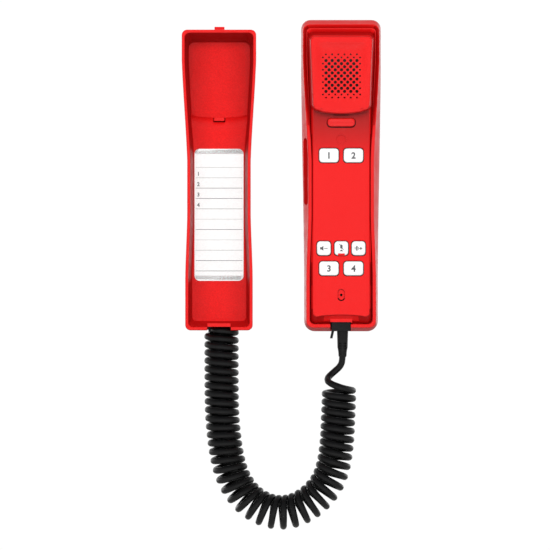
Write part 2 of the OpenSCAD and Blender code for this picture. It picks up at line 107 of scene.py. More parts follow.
def make_world():
    """White to the camera; for lighting, a dome that is brightest above and behind and dim below."""
    world = bpy.data.worlds.new("studio")
    scene.world = world
    world.use_nodes = True
    nodes, links = world.node_tree.nodes, world.node_tree.links
    nodes.clear()
    out = nodes.new("ShaderNodeOutputWorld")
    pick = nodes.new("ShaderNodeMixShader")
    path = nodes.new("ShaderNodeLightPath")
    seen = nodes.new("ShaderNodeBackground")
    seen.inputs["Color"].default_value = (1, 1, 1, 1)
    seen.inputs["Strength"].default_value = 1.02
    lit = nodes.new("ShaderNodeBackground")
    coords = nodes.new("ShaderNodeTexCoord")
    split = nodes.new("ShaderNodeSeparateXYZ")
    height = nodes.new("ShaderNodeMapRange")
    height.inputs["From Min"].default_value = -1
    ramp = nodes.new("ShaderNodeValToRGB")
    ends = ramp.color_ramp.elements
    ends[0].position, ends[1].position = DOME[0][0], DOME[-1][0]
    for place, _ in DOME[1:-1]:
        ends.new(place)
    for end, (_, level) in zip(ends, DOME):
        end.color = (level, level, level, 1)
    behind = nodes.new("ShaderNodeMapRange")
    for socket, value in zip(RANGE_SOCKETS, (-0.1, 0.7, FRONT_DOME, BACK_DOME)):
        behind.inputs[socket].default_value = value
    links.new(coords.outputs["Generated"], split.inputs["Vector"])
    links.new(split.outputs["Z"], height.inputs["Value"])
    links.new(split.outputs["Y"], behind.inputs["Value"])
    links.new(height.outputs["Result"], ramp.inputs["Fac"])
    links.new(ramp.outputs["Color"], lit.inputs["Color"])
    links.new(behind.outputs["Result"], lit.inputs["Strength"])
    links.new(path.outputs["Is Camera Ray"], pick.inputs["Fac"])
    links.new(lit.outputs["Background"], pick.inputs[1])
    links.new(seen.outputs["Background"], pick.inputs[2])
    links.new(pick.outputs["Shader"], out.inputs["Surface"])


scene.view_settings.view_transform = "Standard"
scene.view_settings.look = "None"
make_camera()
make_world()
area_light("key_light", (0.037, -2.35, 0.72), (1.3, 1.0), 68)
area_light("top_light", (0.037, -0.75, 1.30), (1.8, 1.2), 9)


# --- Materials ---

class Nodes:
    """Short way to build one material's nodes, over coordinates in the piece's own space."""

    def __init__(self, name, base, rough, shine=0.5, **fixed):
        self.mat = bpy.data.materials.new(name)
        self.mat.use_nodes = True
        tree = self.mat.node_tree
        self.nodes, self.links = tree.nodes, tree.links
        self.bsdf = self.nodes["Principled BSDF"]
        self.bsdf.inputs["Base Color"].default_value = (*base, 1)
        self.bsdf.inputs["Roughness"].default_value = rough
        self.bsdf.inputs["Specular IOR Level"].default_value = shine
        for key, value in fixed.items():
            self.bsdf.inputs[key.replace("_", " ")].default_value = value
        self.coords = self.nodes.new("ShaderNodeTexCoord").outputs["Object"]
        self.normal = None

    def add(self, kind, **values):
        node = self.nodes.new("ShaderNode" + kind)
        for key, value in values.items():
            if hasattr(node, key):
                setattr(node, key, value)
            else:
                node.inputs[key.replace("_", " ").title()].default_value = value
        return node

    def noise(self, scale, detail=2.0, rough=0.5, stretch=None):
        """Noise texture; scale is in cells per metre."""
        node = self.add("TexNoise", Scale=scale, Detail=detail, Roughness=rough)
        source = self.coords
        if stretch:
            place = self.add("Mapping")
            place.inputs["Scale"].default_value = stretch
            self.links.new(source, place.inputs["Vector"])
            source = place.outputs["Vector"]
        self.links.new(source, node.inputs["Vector"])
        return node.outputs["Fac"]

    def ramp(self, fac, low, high, a, b):
        """Colour ramp from colour a at low to colour b at high."""
        node = self.add("ValToRGB")
        ends = node.color_ramp.elements
        ends[0].position, ends[1].position = low, high
        ends[0].color, ends[1].color = (*a, 1), (*b, 1)
        self.links.new(fac, node.inputs["Fac"])
        return node.outputs["Color"]

    def span(self, fac, low, high, a, b):
        """Maps the values low..high to a..b."""
        node = self.add("MapRange")
        for socket, value in zip(RANGE_SOCKETS, (low, high, a, b)):
            node.inputs[socket].default_value = value
        self.links.new(fac, node.inputs["Value"])
        return node.outputs["Result"]

    def bump(self, height, strength, distance):
        """Adds a bump to those before it."""
        node = self.add("Bump")
        node.inputs["Strength"].default_value = strength
        node.inputs["Distance"].default_value = distance
        self.links.new(height, node.inputs["Height"])
        if self.normal:
            self.links.new(self.normal, node.inputs["Normal"])
        self.normal = node.outputs["Normal"]

    def multiply(self, a, b):
        """Product of two colours."""
        node = self.add("Mix", data_type="RGBA", blend_type="MULTIPLY")
        node.inputs["Factor"].default_value = 1
        # The colour sockets share their names with the node's other sockets, so they go by number
        self.links.new(a, node.inputs[6])
        self.links.new(b, node.inputs[7])
        return node.outputs[2]

    def wave(self, scale, direction):
        """Bands across one direction, with scale * 20 radians to a metre."""
        node = self.add("TexWave", bands_direction=direction)
        node.inputs["Scale"].default_value = scale
        self.links.new(self.coords, node.inputs["Vector"])
        return node.outputs["Fac"]

    def colour(self, source):
        self.links.new(source, self.bsdf.inputs["Base Color"])

    def rough(self, source):
        self.links.new(source, self.bsdf.inputs["Roughness"])

    def done(self):
        if self.normal:
            self.links.new(self.normal, self.bsdf.inputs["Normal"])
        return self.mat

    def spark_finish(self, low, high):
        """Finishes a fine spark texture with an uneven gloss between two roughnesses."""
        self.rough(self.span(self.noise(180, 4), 0.3, 0.7, low, high))
        self.bump(self.noise(3400, 2, 0.6), 0.3, 0.00004)
        self.bump(self.noise(120, 2), 0.1, 0.00008)
        return self.done()


def tint(colour, k):
    return tuple(min(1.0, c * k) for c in colour)


def moulded(name, base, rough, grain=5200, depth=0.00004, spread=0.06, **fixed):
    """Moulded plastic: fine grain, slow colour drift and slightly uneven gloss."""
    m = Nodes(name, base, rough, **fixed)
    m.colour(m.ramp(m.noise(38, 3), 0.3, 0.7, tint(base, 1 - spread), tint(base, 1 + spread / 2)))
    m.rough(m.span(m.noise(210, 4), 0.3, 0.7, rough - 0.05, rough + 0.06))
    m.bump(m.noise(grain, 2, 0.6), 0.35, depth)
    m.bump(m.noise(150, 2), 0.12, depth * 2)
    return m.done()


def scuffed_metal(name, base, rough, stretch=(1, 1, 14)):
    """Rolled or turned metal: stretched scratches, dull patches and fine pitting."""
    m = Nodes(name, base, rough, Metallic=1.0)
    m.colour(m.ramp(m.noise(60, 4), 0.3, 0.75, tint(base, 0.8), base))
    m.rough(m.span(m.noise(900, 4, 0.6, stretch), 0.3, 0.7, rough - 0.1, rough + 0.15))
    m.bump(m.noise(2600, 3, 0.6, stretch), 0.2, 0.00003)
    return m.done()


def speckled_red(name, base, rough, **fixed):
    """Spark-textured red plastic: fine grain in colour and height over slow drift and uneven gloss."""
    m = Nodes(name, base, rough, **fixed)
    slow = m.ramp(m.noise(30, 3), 0.3, 0.7, tint(base, 0.95), base)
    speckle = m.ramp(m.noise(2600, 2, 0.7), 0.35, 0.65, (0.88, 0.88, 0.88), (1, 1, 1))
    m.colour(m.multiply(slow, speckle))
    return m.spark_finish(rough - 0.05, rough + 0.07)


def make_textured_red_wall_shade():
    """Coarse spark texture of the cradle's floors, with painted shade that darkens the colour towards
    the side walls.
    """
    m = Nodes("red_textured_wall_shade", (0.55, 0.005, 0.005), 0.42, shine=0.28)
    place = m.add("SeparateXYZ")
    m.links.new(m.coords, place.inputs["Vector"])
    off_centre = m.add("Math", operation="ABSOLUTE")
    m.links.new(place.outputs["X"], off_centre.inputs[0])
    sideways = m.span(off_centre.outputs[0], 0.004, 0.019, 0, 1)
    # Painted shade: the colour darkens towards the trough's side walls, where their shade falls.
    edge = m.ramp(sideways, 0, 1, (1, 1, 1), (0.72, 0.72, 0.72))
    speckle = m.ramp(m.noise(1300, 2, 0.8), 0.36, 0.64, (0.46, 0.004, 0.004), (0.60, 0.006, 0.006))
    m.colour(m.multiply(speckle, edge))
    m.rough(m.span(m.noise(180, 4), 0.3, 0.7, 0.36, 0.5))
    m.bump(m.noise(1700, 2, 0.7), 0.35, 0.00008)
    return m.done()


def make_panel_red_chin_shadow():
    """The handset's inner panel: the same red, with a painted shadow that darkens it towards the hollow
    under the earpiece's chin.
    """
    base = (0.60, 0.006, 0.006)
    m = Nodes("red_panel_chin_shadow", base, 0.36, shine=0.35)
    place = m.add("SeparateXYZ")
    m.links.new(m.coords, place.inputs["Vector"])
    # Painted shadow under the earpiece boss: the colour darkens towards the top of the panel.
    upwards = m.span(place.outputs["Z"], 0.012, 0.046, 0, 1)
    painted_chin_shadow = m.ramp(upwards, 0, 1, (1, 1, 1), (0.42, 0.42, 0.42))
    speckle = m.ramp(m.noise(2600, 2, 0.7), 0.35, 0.65, tint(base, 0.88), base)
    m.colour(m.multiply(speckle, painted_chin_shadow))
    return m.spark_finish(0.3, 0.43)


def make_paper():
    """Card with fibres, a faint mottle and a soft sheen."""
    m = Nodes("card_paper", (0.86, 0.86, 0.85), 0.6, shine=0.2)
    mottle = m.ramp(m.noise(900, 4, 0.7), 0.35, 0.65, (0.62, 0.62, 0.62), (0.68, 0.68, 0.675))
    fibre = m.ramp(m.noise(1500, 3, 0.6, (6, 1, 1)), 0.3, 0.7, (0.96, 0.96, 0.96), (1, 1, 1))
    m.colour(m.multiply(mottle, fibre))
    m.bump(m.noise(2500, 4, 0.7, (3, 1, 1)), 0.2, 0.00002)
    return m.done()


def make_clear():
    """Clear polished sheet, nearly all see-through, with fine handling marks in its gloss."""
    m = Nodes("clear_sheet", (0.95, 0.97, 0.98), 0.12, Alpha=0.06, shine=0.5)
    m.rough(m.span(m.noise(400, 5, 0.6, (1, 1, 4)), 0.35, 0.7, 0.06, 0.3))
    m.bump(m.noise(90, 2), 0.05, 0.0001)
    return m.done()


def make_gauze():
    """Fine black woven gauze: two crossed rows of threads."""
    m = Nodes("gauze", (0.006, 0.007, 0.007), 0.7)
    warp = m.wave(1600, "X")
    weft = m.wave(1600, "Z")
    m.colour(m.multiply(m.ramp(warp, 0.2, 0.8, (0.004, 0.004, 0.004), (0.02, 0.022, 0.022)),
                        m.ramp(weft, 0.2, 0.8, (0.4, 0.4, 0.4), (1, 1, 1))))
    m.bump(warp, 0.4, 0.0001)
    m.bump(weft, 0.4, 0.0001)
    return m.done()


def make_board():
    """Solder-resist green with slightly raised copper tracks."""
    m = Nodes("solder_resist", (0.02, 0.12, 0.05), 0.35)
    tracks = m.wave(420, "DIAGONAL")
    m.colour(m.ramp(tracks, 0.45, 0.55, (0.012, 0.09, 0.035), (0.03, 0.17, 0.07)))
    m.rough(m.span(m.noise(300, 3), 0.3, 0.7, 0.25, 0.45))
    m.bump(tracks, 0.3, 0.00005)
    return m.done()


CORD_BLACK = moulded("cord_black", (0.0025, 0.0025, 0.0028), 0.36, grain=9000, spread=0.3, shine=0.3)
BOOT_BLACK = moulded("boot_black", (0.004, 0.004, 0.004), 0.5, grain=6000, spread=0.3, shine=0.3)
BLACK = moulded("black_plastic", (0.004, 0.004, 0.0045), 0.38, grain=4000, spread=0.25, shine=0.3)
RED = speckled_red("red_moulded", (0.60, 0.006, 0.006), 0.34, shine=0.35)
RED_BAR = speckled_red("red_bar", (0.61, 0.010, 0.010), 0.3, shine=0.45)
DARK_RED = speckled_red("dark_red_moulded", (0.42, 0.003, 0.003), 0.45, shine=0.3)
# Darker copy of the red: painted shade for inner walls, grooves and slopes that face away from the
# light.
SHADED_WALL_RED = speckled_red("red_wall_painted_shade", (0.34, 0.002, 0.002), 0.45, shine=0.28)
GRIP = speckled_red("grip_red", (0.40, 0.002, 0.002), 0.85, shine=0.08)
# Near-black painted shade for the flanges and sides that show in the gaps round the keys and the bar.
GAP_SHADE_BLACK = moulded("painted_gap_shade", (0.02, 0.018, 0.018), 0.7, grain=3000, spread=0.2)
LAMP_RED = moulded("lamp_red", (0.65, 0.002, 0.002), 0.18, grain=2000, depth=0.00001, spread=0.1,
                   Transmission_Weight=0.15)
WHITE_KEY = moulded("key_white", (0.66, 0.66, 0.66), 0.32, grain=5000, depth=0.00002, spread=0.03)
INK = moulded("grey_ink", (0.07, 0.07, 0.075), 0.55, grain=8000, depth=0.00001, spread=0.2)
SILICONE = moulded("grey_silicone", (0.5, 0.5, 0.5), 0.6, grain=3000, spread=0.08)
STEEL = scuffed_metal("zinc_steel", (0.62, 0.63, 0.66), 0.34)
PAPER, CLEAR, MESH, BOARD = make_paper(), make_clear(), make_gauze(), make_board()
TEXTURED_RED_WALL_SHADE, PANEL_RED_CHIN_SHADOW = make_textured_red_wall_shade(), make_panel_red_chin_shadow()


# --- Outlines ---

def clamp01(t):
    return min(1.0, max(0.0, t))


def smooth(t):
    c = clamp01(t)
    return c * c * (3 - 2 * c)


def taper(t):
    """Nearly straight way from 0 to 1, with soft ends."""
    return 0.7 * clamp01(t) + 0.3 * smooth(t)


def mix(a, b, t):
    return a + (b - a) * t


# --- Mesh helpers ---

def make_object(name, verts, faces):
    mesh = bpy.data.meshes.new(name)
    mesh.from_pydata([tuple(v) for v in verts], [], faces)
    mesh.update()
    obj = bpy.data.objects.new(name, mesh)
    scene.collection.objects.link(obj)
    return obj


def fix_normals(obj, weld=0.0):
    """Turns all faces outwards, after joining points closer than weld, in metres."""
    bm = bmesh.new()
    bm.from_mesh(obj.data)
    if weld:
        bmesh.ops.remove_doubles(bm, verts=bm.verts, dist=weld)
    bmesh.ops.recalc_face_normals(bm, faces=bm.faces)
    bm.to_mesh(obj.data)
    bm.free()


def strip(a, b, n):
    """Quads between two closed loops of n points, whose first points are a and b."""
    return [(a + k, a + (k + 1) % n, b + (k + 1) % n, b + k) for k in range(n)]


def prism_faces(n):
    """Two ends of n points each, and the sides between them."""
    return [tuple(range(n)), tuple(range(2 * n - 1, n - 1, -1))] + strip(0, n, n)


def shade(obj, angle):
    """Smooth shading that keeps edges sharper than this angle, in degrees."""
    mesh = obj.data
    bm = bmesh.new()
    bm.from_mesh(mesh)
    limit = math.radians(angle)
    for face in bm.faces:
        face.smooth = True
    for edge in bm.edges:
        edge.smooth = len(edge.link_faces) == 2 and edge.calc_face_angle(0) < limit
    bm.to_mesh(mesh)
    bm.free()


def finish_piece(obj, material, slot, body, *nodes, angle=35):
    """Shading, material, the CAD nodes it stands for and the body it rides on; the slot is not used."""
    shade(obj, angle)
    obj.data.materials.clear()
    obj.data.materials.append(material)
    if nodes:
        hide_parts(*nodes)
    if body:
        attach(obj, body)


ARC = 8         # steps round a corner
COLUMNS = 14    # columns across a cap


def side(half, g, z0, z1, r0, r1, rows):
    """Right half of a closed outline as (x, z), from the bottom z0 to the top z1.

    Its half width is half(z) - g, and its corner radii are r0 below and r1 above."""
    def corner(z, r, start):
        angles = [math.radians(90 * i / ARC + start) for i in range(ARC + 1)]
        return [(half(z) - g - r + r * math.cos(a), z + r * math.sin(a)) for a in angles]
    return corner(z0 + r0, r0, -90) + [(half(z) - g, z) for z in rows] + corner(z1 - r1, r1, 0)


def between(a, b, t):
    """Outline part of the way from outline a to outline b."""
    return [(mix(p[0], q[0], t), mix(p[1], q[1], t)) for p, q in zip(a, b)]


def inward(outline, r):
    """The outline moved inwards by r, along its own normals."""
    out = []
    last = len(outline) - 1
    for i, (x, z) in enumerate(outline):
        a = outline[i - 1] if i else (-outline[0][0], outline[0][1])
        b = outline[i + 1] if i < last else (-outline[last][0], outline[last][1])
        dx, dz = b[0] - a[0], b[1] - a[1]
        n = math.hypot(dx, dz) or 1
        out.append((x - r * dz / n, z + r * dx / n))
    return out


class Stack:
    """Closed surface through mirrored outlines at given depths, with gridded caps at both ends."""

    def __init__(self, columns=COLUMNS, shift=0.0):
        self.columns, self.shift = columns, shift
        self.verts, self.faces, self.previous = [], [], None

    def point(self, x, d, z):
        self.verts.append(((x + self.shift) * MM, -d * MM, z * MM))
        return len(self.verts) - 1

    def bowed(self, x, z, outline):
        """Height of an inner point, moved with the bow of the outline's lower or upper edge."""
        for bow, (half, edge) in zip(self.bow, (outline[0], outline[-1])):
            if bow:
                z += bow * (1 - min(1, abs(x) / (half + 2)) ** 2) * smooth(1 - abs(z - edge) / 16)
        return z

    def ring(self, outline, depth, bow=(0, 0)):
        """Adds an outline; depth is a number, a list with one for each point, or a function of x and z.

        bow is how far the middles of the lower and the upper edge stand above the edge's ends."""
        self.bow = bow

        def depth_at(i, x, z):
            if isinstance(depth, list):
                return depth[i]
            return depth(x, z) if callable(depth) else depth
        right = [self.point(x, depth_at(i, x, z), z) for i, (x, z) in enumerate(outline)]
        left = [self.point(-x, depth_at(i, -x, z), z) for i, (x, z) in enumerate(outline)]
        rows = []
        for i in (0, len(outline) - 1):
            end_x, end_z = outline[i]
            across = [mix(end_x, -end_x, c / self.columns) for c in range(1, self.columns)]
            heights = [self.bowed(x, end_z, outline) for x in across]
            rows.append([self.point(x, depth_at(i, x, z), z) for x, z in zip(across, heights)])
        loop = right + rows[1] + left[::-1] + rows[0][::-1]
        if self.previous:
            n = len(loop)
            for k in range(n):
                m = (k + 1) % n
                self.faces.append((self.previous[k], self.previous[m], loop[m], loop[k]))
        else:
            self.first = (outline, right, left, rows)
        self.previous = loop
        self.last = (outline, right, left, rows)

    def cap(self, place, at_start=False):
        """Closes an end with a grid; place gives (depth, z) for an inner point (x, z)."""
        outline, right, left, rows = self.first if at_start else self.last
        grid = [[right[0]] + rows[0] + [left[0]]]
        for i in range(1, len(outline) - 1):
            x, z = outline[i]
            row = [right[i]]
            for c in range(1, self.columns):
                px = mix(x, -x, c / self.columns)
                d, pz = place(px, self.bowed(px, z, outline))
                row.append(self.point(px, d, pz))
            grid.append(row + [left[i]])
        grid.append([right[-1]] + rows[1] + [left[-1]])
        for a, b in zip(grid, grid[1:]):
            for c in range(self.columns):
                self.faces.append((a[c], a[c + 1], b[c + 1], b[c]))

    def build(self, name):
        obj = make_object(name, self.verts, self.faces)
        fix_normals(obj, weld=2e-6)
        return obj


def even(a, b, n):
    """A list of n evenly spaced numbers from a to b."""
    return [mix(a, b, i / (n - 1)) for i in range(n)]


def flat(d):
    """Cap at one depth."""
    return lambda x, z: (d, z)


def rounded(w, h, r, steps=5):
    """Rounded rectangle as a closed list of (x, z)."""
    out = []
    for q, (sx, sz) in enumerate(((1, 1), (-1, 1), (-1, -1), (1, -1))):
        for i in range(steps + 1):
            a = math.radians(90 * q + 90 * i / steps)
            out.append((sx * (w / 2 - r) + r * math.cos(a), sz * (h / 2 - r) + r * math.sin(a)))
    return out


def prism(name, outline, d0, d1, at=(0, 0)):
    """Closed prism over an outline of (x, z), from depth d0 to d1."""
    verts = [vec((x + at[0], d, z + at[1])) for d in (d0, d1) for x, z in outline]
    obj = make_object(name, verts, prism_faces(len(outline)))
    fix_normals(obj)
    return obj


def box_prism(half, z0, z1, d0, d1, x=0):
    """Box that reaches half to each side of x."""
    return prism("tool", [(x - half, z0), (x + half, z0), (x + half, z1), (x - half, z1)], d0, d1)


def disc(r, sides=20):
    angles = [2 * math.pi * k / sides for k in range(sides)]
    return [(r * math.cos(a), r * math.sin(a)) for a in angles]


def joined(objs):
    """One mesh from several; the others are removed."""
    bm = bmesh.new()
    for obj in objs:
        bm.from_mesh(obj.data)
    bm.to_mesh(objs[0].data)
    bm.free()
    for obj in objs[1:]:
        bpy.data.objects.remove(obj)
    return objs[0]


def boolean(obj, tool, operation="DIFFERENCE"):
    """Applies an exact boolean and removes the tool."""
    modifier = obj.modifiers.new("cut", "BOOLEAN")
    modifier.operation, modifier.solver, modifier.object = operation, "EXACT", tool
    bpy.context.view_layer.update()
    mesh = bpy.data.meshes.new_from_object(obj.evaluated_get(bpy.context.evaluated_depsgraph_get()))
    obj.modifiers.clear()
    obj.data = mesh
    bpy.data.objects.remove(tool)


def bevel(obj, width, segments=2):
    """Rounds the edges of a mesh by width, in millimetres."""
    modifier = obj.modifiers.new("bevel", "BEVEL")
    modifier.width, modifier.segments = width * MM, segments
    modifier.limit_method, modifier.angle_limit = "ANGLE", math.radians(40)


def paint(obj, material, chosen, x_middle=0):
    """Gives another material to the faces still in the first that chosen(normal, x, d, z) picks."""
    obj.data.materials.append(material)
    index = len(obj.data.materials) - 1
    for face in obj.data.polygons:
        x, d, z = face.center.x / MM - x_middle, -face.center.y / MM, face.center.z / MM
        if face.material_index == 0 and chosen(face.normal, x, d, z):
            face.material_index = index


def place_at(obj, x, d, z):
    obj.data.transform(Matrix.Translation(vec((x, d, z))))
    return obj


# --- Cord ---

CORD_DIA = 4.4
COIL_RADIUS = 9.4   # to the cord's middle
PLUG_EXIT = (-3, -15.2, -98.9)
# The coil's middle line, (x, y, z) in metres: part.scad's, with one more point above its first
COIL_ROUTE = [
    (0.0015, -0.0125, -0.099), (0.0015, -0.0125, -0.1006), (0.0015, -0.0125, -0.116),
    (0.0015, -0.0125, -0.134), (0.0018, -0.013, -0.152), (0.0028, -0.013, -0.166),
    (0.0048, -0.0135, -0.181), (0.0078, -0.014, -0.193), (0.0125, -0.0145, -0.203),
    (0.020, -0.0155, -0.212), (0.030, -0.017, -0.218), (0.040, -0.0185, -0.220),
    (0.050, -0.0195, -0.2185), (0.0595, -0.0205, -0.2135), (0.067, -0.0215, -0.2065),
    (0.0725, -0.022, -0.198), (0.076, -0.0225, -0.187), (0.078, -0.0225, -0.172),
    (0.0787, -0.0225, -0.158), (0.0792, -0.0225, -0.147), (0.0794, -0.0225, -0.139)]
# The lead from the coil's last turn up into the boot, rounder at its sharp turn than part.scad's
LEAD_ROUTE = [
    (0.0790, -0.0322, -0.1364), (0.0748, -0.0306, -0.1348), (0.0722, -0.0275, -0.1330),
    (0.0720, -0.0240, -0.1310), (0.0738, -0.0217, -0.1289), (0.0766, -0.0213, -0.1264),
    (0.0793, -0.0218, -0.1239), (0.0811, -0.0224, -0.1208), (0.0817, -0.0225, -0.1158)]


def catmull(points, steps):
    """Smooth curve through the points, with that many steps to a span."""
    out = []
    last = len(points) - 1
    for i in range(last):
        a, b, c, d = points[max(i - 1, 0)], points[i], points[i + 1], points[min(i + 2, last)]
        for k in range(steps):
            t = k / steps
            out.append(0.5 * (2 * b + (c - a) * t + (2 * a - 5 * b + 4 * c - d) * t * t
                              + (3 * b - a - 3 * c + d) * t ** 3))
    return out + [points[-1]]


def hermite(p0, m0, p1, m1, steps):
    """Inner points of a curve from p0 to p1 that starts along m0 and arrives along m1."""
    out = []
    for k in range(1, steps):
        t = k / steps
        out.append((2 * t ** 3 - 3 * t * t + 1) * p0 + (t ** 3 - 2 * t * t + t) * m0
                   + (3 * t * t - 2 * t ** 3) * p1 + (t ** 3 - t * t) * m1)
    return out


def coil_path(per_turn):
    """Centreline of the whole cord in millimetres: out of the plug, round every turn, into the boot."""
    line = catmull([Vector(p) * 1000 for p in COIL_ROUTE], 24)
    front = Vector((0, -1, 0))
    first_z, last_z = -99.4, -138.4         # heights where the turns start and stop
    leg_pitch, bend_pitch = 5.47, 6.5
    bend_top, bend_change = -168, 40        # the pitch grows over this height below bend_top
    start = next(i for i, p in enumerate(line) if p.z < first_z)
    stop = next(i for i in range(len(line) - 1, 0, -1) if line[i].z < last_z)
    above, below = line[start - 1], line[start]
    line = [above.lerp(below, (first_z - above.z) / (below.z - above.z))] + line[start:stop + 1]
    turns = [0.0]
    for a, b in zip(line, line[1:]):
        low = smooth((bend_top - (a.z + b.z) / 2) / bend_change)
        turns.append(turns[-1] + (b - a).length / (leg_pitch + (bend_pitch - leg_pitch) * low))
    # The last turn ends at its right side, where the lead takes over
    whole = round(turns[-1]) + 0.72
    turns = [n * whole / turns[-1] for n in turns]
    path, i = [], 0
    for k in range(int(whole * per_turn) + 1):
        n = k / per_turn
        while turns[i + 1] < n and i < len(turns) - 2:
            i += 1
        t = (n - turns[i]) / (turns[i + 1] - turns[i])
        middle = line[i].lerp(line[i + 1], t)
        ahead = (line[min(i + 2, len(line) - 1)] - line[max(i - 1, 0)]).normalized()
        e1 = (front - ahead * front.dot(ahead)).normalized()
        e2 = ahead.cross(e1)
        angle = -2 * math.pi * n
        path.append(middle + COIL_RADIUS * (math.cos(angle) * e1 + math.sin(angle) * e2))
    exit_point = Vector(PLUG_EXIT)
    lead_in = [exit_point + Vector((0.6, 2.4, 0)), exit_point]
    first_way = (path[1] - path[0]).normalized() * 10
    lead_in += hermite(exit_point, Vector((-4.5, -9, 0)), path[0], first_way, 10)
    lead = [Vector(p) * 1000 for p in LEAD_ROUTE]
    last_way = (path[-1] - path[-2]).normalized() * 15
    over = hermite(path[-1], last_way, lead[0], (lead[1] - lead[0]).normalized() * 15, 12)
    return lead_in + path + over + catmull(lead, 6)


def sweep(name, path, radius, sides):
    """Closed tube along the path (millimetres), on frames that don't twist."""
    last = len(path) - 1
    tangents = [(path[min(i + 1, last)] - path[max(i - 1, 0)]).normalized() for i in range(last + 1)]
    u = tangents[0].orthogonal().normalized()
    verts, faces = [], []
    for i, (p, t) in enumerate(zip(path, tangents)):
        if i:
            u = tangents[i - 1].rotation_difference(t) @ u
            u = (u - t * u.dot(t)).normalized()
        v = t.cross(u)
        for k in range(sides):
            a = 2 * math.pi * k / sides
            verts.append((p + radius * (math.cos(a) * u + math.sin(a) * v)) * MM)
        if i:
            faces += strip((i - 1) * sides, i * sides, sides)
    faces.append(tuple(range(sides - 1, -1, -1)))
    faces.append(tuple(range(last * sides, (last + 1) * sides)))
    return make_object(name, verts, faces)


def make_cord():
    per_turn, sides = ((22, 12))
    path = coil_path(per_turn)
    cord = sweep("curly_cord", path, CORD_DIA / 2, sides)
    finish_piece(cord, CORD_BLACK, "black_rubber", None, "cord_coil", "cord_lead", angle=60)
    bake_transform(cord)


# --- Cradle ---

RIM_D, RECESS_D, TROUGH_D = 30, 9, 19
CRADLE_END = 99.3
RECESS_LOW, RAMP_LOW = 41.6, 24


def cradle_half(z):
    if z > 13:
        return 21 + 3.6 * taper((z - 13) / 66)
    return 21 + 1.3 * taper((-24 - z) / 39)


def trough_half(z):
    return cradle_half(z) - 4.3 + 1.1 * smooth((z - RAMP_LOW) / 20)


def floor_d(z):
    """Depth of the recess's floor, the trough's floor and the rounded ramp between them."""
    if z >= RECESS_LOW:
        return RECESS_D
    if z <= RAMP_LOW:
        return TROUGH_D
    t = (z - RAMP_LOW) / (RECESS_LOW - RAMP_LOW)
    return RECESS_D + (TROUGH_D - RECESS_D) * math.sqrt(1 - t * t)


# Closest together at the ramp's steep upper end
RAMP_ROWS = [mix(RECESS_LOW, RAMP_LOW, (i / 18) ** 1.6) + 2.2 for i in range(18, -1, -1)]
CRADLE_ROWS = even(-87, 22, 26) + RAMP_ROWS + even(45.5, 85, 14)


def lift(x):
    """How far the recess's lower edge is above its CAD height: it bows down towards the middle."""
    return 0.4 + 1.8 * (x / 19) ** 2


def outer(g):
    return side(cradle_half, g, g - CRADLE_END, CRADLE_END - g, 3.6, 3.6, CRADLE_ROWS)


def cradle_body():
    """The shell without its cuts, from the cavity behind round the rim to the floors."""
    deep = side(trough_half, 1, -92, 91.7, 3, 4, CRADLE_ROWS)
    middle = side(trough_half, 0, -93, 94.3, 3, 4, CRADLE_ROWS)
    front = side(cradle_half, 1.8, -97.7, 97.6, 3, 3, CRADLE_ROWS)
    cavity = side(cradle_half, 2.4, -96.9, 96.9, 2.5, 2.5, CRADLE_ROWS)
    floors = [floor_d(z - lift(x)) for x, z in middle]

    def wall_point(i, d):
        if d > TROUGH_D:
            return between([middle[i]], [front[i]], (d - TROUGH_D) / 12)[0]
        return between([deep[i]], [middle[i]], (d - 7) / 12)[0]

    def wall_ring(depths):
        return [wall_point(i, d) for i, d in enumerate(depths)]

    stack = Stack()
    backs = [floor_d(z + 2) - 2 for _, z in cavity]
    stack.ring(inward(cavity, 0.3), backs)
    stack.cap(lambda x, z: (floor_d(z + 2) - 2, z), at_start=True)
    stack.ring(cavity, [d - 0.3 for d in backs])
    stack.ring(cavity, 2)
    for g, d in ((1.5, 2), (1.22, 2.12), (1.1, 2.5), (0.8, 3.7), (0.5, 5), (0.3, 13), (0.1, 22),
                 (0, 28.9), (0.06, 29.4), (0.26, 29.78), (0.6, 29.97), (0.8, RIM_D)):
        stack.ring(outer(g), d)
    lip = wall_ring([RIM_D] * len(floors))
    stack.ring(between(outer(0.6), lip, 0.75), RIM_D)
    stack.ring(inward(wall_ring([29.9] * len(floors)), -0.12), 29.88)
    stack.ring(wall_ring([29.5] * len(floors)), 29.5)
    fillet = 0.8
    for k in range(1, 8):
        depths = [mix(29.5, f + fillet, k / 7) for f in floors]
        stack.ring(wall_ring(depths), depths)
    foot = wall_ring([f + fillet for f in floors])
    for a in (30, 60, 90):
        s, c = math.sin(math.radians(a)), math.cos(math.radians(a))
        stack.ring(inward(foot, fillet * (1 - c)), [f + fillet * (1 - s) for f in floors])

    def floor(x, z):
        """The ramp's rows keep to its curve, so its upper edge stays clean where it bows."""
        window = smooth((z - 10) / 20) * smooth((60 - z) / 14)
        wall_x = trough_half(z)
        shifted = z + (lift(x) - lift(wall_x)) * window
        return floor_d(shifted - lift(x)), shifted
    stack.cap(floor)
    return stack.build("cradle_shell_visual")


